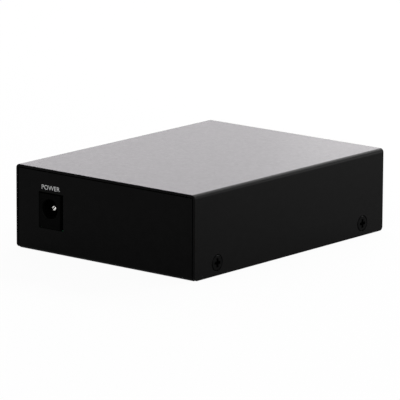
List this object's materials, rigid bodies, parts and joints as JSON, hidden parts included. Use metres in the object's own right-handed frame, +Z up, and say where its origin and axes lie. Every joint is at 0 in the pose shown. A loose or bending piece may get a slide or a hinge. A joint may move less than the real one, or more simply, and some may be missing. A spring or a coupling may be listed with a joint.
{
  "type": "fibre media converter",
  "caption": "Small black folded-steel box that joins a copper network port to a fibre module slot, with a barrel power inlet in its rear panel and countersunk screws low on its sides.",
  "frame": {"origin": "centre of the underside of the case", "axes": "+Z up, port panel faces -Y, power panel faces +Y, +X to the right seen from the port panel"},
  "size_m": [0.0732, 0.0944, 0.027],
  "materials": {
    "case_paint": "fine matte black powder coat on folded steel",
    "black_steel": "black zinc plated screw",
    "plated_steel": "bright tin or nickel plate",
    "laminate": "green glass-epoxy laminate",
    "black_plastic": "black moulding",
    "plated_brass": "nickel plated brass",
    "gold_contact": "gold flashed spring bronze",
    "clear_plastic": "clear moulded light guide",
    "lamp": "surface lamp",
    "tinned_lead": "matte tin",
    "ferrite": "dark grey ferrite",
    "can_aluminium": "bright drawn can",
    "chip_ceramic": "fired ceramic chip"
  },
  "bodies": {
    "converter": {"base_tray": "case_paint", "top_cover": "case_paint", "cover_screws": "black_steel", "board_standoffs": "plated_steel", "board_screws": "plated_steel", "circuit_board": "laminate", "dc_jack_housing": "black_plastic", "dc_jack_pin": "plated_brass", "dc_jack_spring": "plated_brass", "rj45_shield": "plated_steel", "rj45_housing": "black_plastic", "rj45_contacts": "gold_contact", "sfp_cage": "plated_steel", "sfp_emi_springs": "plated_steel", "sfp_connector": "black_plastic", "sfp_contacts": "gold_contact", "light_guide": "clear_plastic", "status_lamps": "lamp", "switch_frame": "plated_steel", "switch_base": "laminate", "switch_terminals": "plated_brass", "converter_chip": "black_plastic", "converter_chip_leads": "tinned_lead", "lan_transformer": "black_plastic", "lan_transformer_leads": "tinned_lead", "buck_regulator": "black_plastic", "buck_regulator_leads": "tinned_lead", "config_memory": "black_plastic", "config_memory_leads": "tinned_lead", "core_regulator": "black_plastic", "core_regulator_leads": "tinned_lead", "clock_crystal": "plated_steel", "power_inductor": "ferrite", "filter_capacitors": "can_aluminium", "input_diode": "black_plastic", "input_fuse": "chip_ceramic", "isolation_capacitor": "chip_ceramic", "chip_resistors": "chip_ceramic", "chip_capacitors": "chip_ceramic"},
    "mode_switch": {"switch_slider": "black_plastic"}
  },
  "joints": [
    {"name": "mode_slide", "type": "slide", "parent": "converter", "child": "mode_switch", "axis": [1, 0, 0], "range_m": [0, 0.002]}
  ]
}
